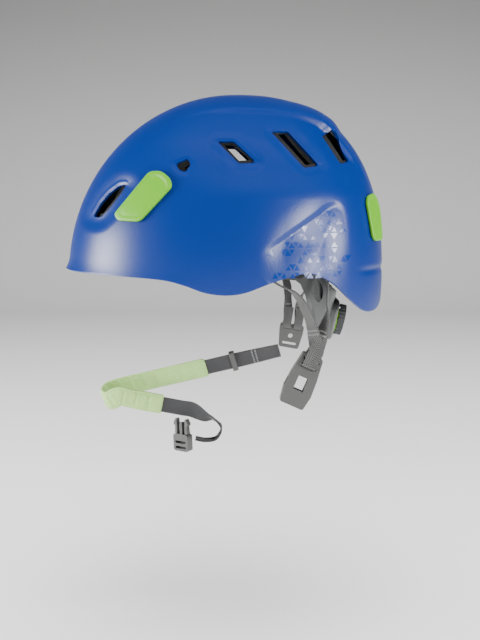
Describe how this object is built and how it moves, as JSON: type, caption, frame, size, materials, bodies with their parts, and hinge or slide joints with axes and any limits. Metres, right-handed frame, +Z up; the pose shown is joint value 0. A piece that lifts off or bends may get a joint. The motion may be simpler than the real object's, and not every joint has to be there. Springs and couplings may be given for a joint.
{
  "type": "climbing helmet",
  "caption": "Hard-shell climbing helmet on a foam liner, with headlamp clips, side vents, a geared nape cradle and a webbing chin harness closed by a side-release buckle.",
  "frame": {"origin": "middle of the head opening on the headform's reference plane, where a head carries the helmet", "axes": "+Z up, -Y the wearer's front, +X the wearer's left"},
  "size_m": [0.21, 0.2647, 0.3147],
  "materials": {
    "shell_blue": "satin moulded ABS",
    "clip_lime": "satin moulded nylon",
    "foam_dark": "moulded EPP beads",
    "foam_light": "moulded EPS beads",
    "plastic_grey": "fine moulded texture",
    "plastic_light": "fine moulded texture",
    "wheel_rubber": "knurled soft grip",
    "pad_fabric": "brushed knit over foam",
    "webbing_grey": "woven polyester webbing",
    "webbing_dark": "woven polyester webbing",
    "sleeve_lime": "laminated knit",
    "steel_spring": "spring steel"
  },
  "bodies": {
    "shell": {"outer_shell": "shell_blue", "foam_liner": "foam_dark", "crown_foam": "foam_light", "clip_posts": "clip_lime", "headband": "plastic_grey", "brow_pad": "pad_fabric", "side_pad_left": "pad_fabric", "side_pad_right": "pad_fabric", "crown_pad": "pad_fabric", "pin_socket_left": "plastic_grey", "pin_socket_right": "plastic_grey", "strap_anchor_front_left": "plastic_grey", "strap_anchor_rear_left": "plastic_grey", "strap_anchor_front_right": "plastic_grey", "strap_anchor_rear_right": "plastic_grey"},
    "clip_front_left": {"headlamp_clip_front_left": "clip_lime"},
    "clip_front_right": {"headlamp_clip_front_right": "clip_lime"},
    "clip_rear_left": {"headlamp_clip_rear_left": "clip_lime"},
    "clip_rear_right": {"headlamp_clip_rear_right": "clip_lime"},
    "cradle_pins": {"cradle_pin_left": "plastic_grey", "cradle_pin_right": "plastic_grey"},
    "cradle": {"cradle_frame": "plastic_grey", "cradle_cover": "plastic_grey", "nape_pad": "pad_fabric", "click_ring": "steel_spring", "cover_screws": "steel_spring", "tension_strap_left": "plastic_grey", "tension_strap_right": "plastic_grey"},
    "adjuster": {"adjuster_wheel": "wheel_rubber", "wheel_ring": "clip_lime", "pinion": "plastic_grey"},
    "tongue_left": {"toothed_tongue_left": "plastic_grey"},
    "tongue_right": {"toothed_tongue_right": "plastic_grey"},
    "harness_left": {"strap_front_left": "webbing_grey", "strap_rear_left": "webbing_grey"},
    "buckle_socket": {"buckle_female": "plastic_light"},
    "harness_right": {"strap_front_right": "webbing_grey", "strap_rear_right": "webbing_grey", "strap_divider": "plastic_light"},
    "chin_loop": {"chin_strap": "webbing_dark", "chin_sleeve": "sleeve_lime", "strap_keeper": "plastic_grey"},
    "buckle_plug": {"buckle_male": "plastic_light"},
    "prong_front": {"buckle_prong_front": "plastic_light"},
    "prong_rear": {"buckle_prong_rear": "plastic_light"}
  },
  "joints": [
    {"name": "clip_front_left_flex", "type": "hinge", "parent": "shell", "child": "clip_front_left", "pos_m": [0.0835, -0.0475, 0.0775], "axis": [-0.4296, -0.8161, 0.3865], "range_deg": [0, 10], "stiffness_Nm_per_rad": 0.35},
    {"name": "clip_front_right_flex", "type": "hinge", "parent": "shell", "child": "clip_front_right", "pos_m": [-0.0835, -0.0475, 0.0775], "axis": [-0.4296, 0.8161, -0.3865], "range_deg": [0, 10], "stiffness_Nm_per_rad": 0.35},
    {"name": "clip_rear_left_flex", "type": "hinge", "parent": "shell", "child": "clip_rear_left", "pos_m": [0.044, 0.1185, 0.0635], "axis": [0.8944, -0.4472, 0], "range_deg": [0, 10], "stiffness_Nm_per_rad": 0.35},
    {"name": "clip_rear_right_flex", "type": "hinge", "parent": "shell", "child": "clip_rear_right", "pos_m": [-0.044, 0.1185, 0.0635], "axis": [0.8944, 0.4472, 0], "range_deg": [0, 10], "stiffness_Nm_per_rad": 0.35},
    {"name": "cradle_tilt", "type": "hinge", "parent": "shell", "child": "cradle_pins", "pos_m": [0, 0.058, 0.005], "axis": [1, 0, 0], "range_deg": [-25, 3]},
    {"name": "cradle_fit", "type": "slide", "parent": "cradle_pins", "child": "cradle", "axis": [0, -1, 0], "range_m": [-0.002, 0.009]},
    {"name": "adjuster_turn", "type": "hinge", "parent": "cradle", "child": "adjuster", "pos_m": [0, 0.087, -0.039], "axis": [0, 0.9744, -0.225], "range_deg": [-25, 112]},
    {"name": "tongue_left_slide", "type": "slide", "parent": "cradle", "child": "tongue_left", "axis": [-1, 0, 0], "range_m": [-0.002, 0.009]},
    {"name": "tongue_right_slide", "type": "slide", "parent": "cradle", "child": "tongue_right", "axis": [1, 0, 0], "range_m": [-0.002, 0.009]},
    {"name": "harness_left_swing", "type": "hinge", "parent": "shell", "child": "harness_left", "pos_m": [0.0865, 0.036, -0.002], "axis": [-0.1789, 0.9837, 0.0157], "range_deg": [-6, 8]},
    {"name": "buckle_socket_swing", "type": "hinge", "parent": "harness_left", "child": "buckle_socket", "pos_m": [0.0822, 0.067, -0.057], "axis": [1, 0, 0], "range_deg": [-30, 20]},
    {"name": "harness_right_swing", "type": "hinge", "parent": "shell", "child": "harness_right", "pos_m": [-0.0865, 0.036, -0.002], "axis": [-0.1789, -0.9837, -0.0157], "range_deg": [-6, 8]},
    {"name": "chin_loop_swing", "type": "hinge", "parent": "harness_right", "child": "chin_loop", "pos_m": [-0.0822, 0.0575, -0.0765], "axis": [1, 0, 0], "range_deg": [-20, 40]},
    {"name": "buckle_plug_swing", "type": "hinge", "parent": "chin_loop", "child": "buckle_plug", "pos_m": [-0.0662, -0.0345, -0.166], "axis": [1, 0, 0], "range_deg": [-20, 30]},
    {"name": "prong_front_press", "type": "hinge", "parent": "buckle_plug", "child": "prong_front", "pos_m": [-0.06968, -0.04464, -0.15485], "axis": [0.7978, -0.5999, -0.0606], "range_deg": [-5, 0], "stiffness_Nm_per_rad": 0.02},
    {"name": "prong_rear_press", "type": "hinge", "parent": "buckle_plug", "child": "prong_rear", "pos_m": [-0.06272, -0.03536, -0.15485], "axis": [0.7978, -0.5999, -0.0606], "range_deg": [0, 5], "stiffness_Nm_per_rad": 0.02}
  ],
  "couplings": [
    {"joint": "cradle_fit", "follows": "adjuster_turn", "m_per_rad": 0.0045},
    {"joint": "tongue_left_slide", "follows": "adjuster_turn", "m_per_rad": 0.0045},
    {"joint": "tongue_right_slide", "follows": "adjuster_turn", "m_per_rad": 0.0045},
    {"joint": "prong_rear_press", "follows": "prong_front_press", "ratio": -1}
  ]
}
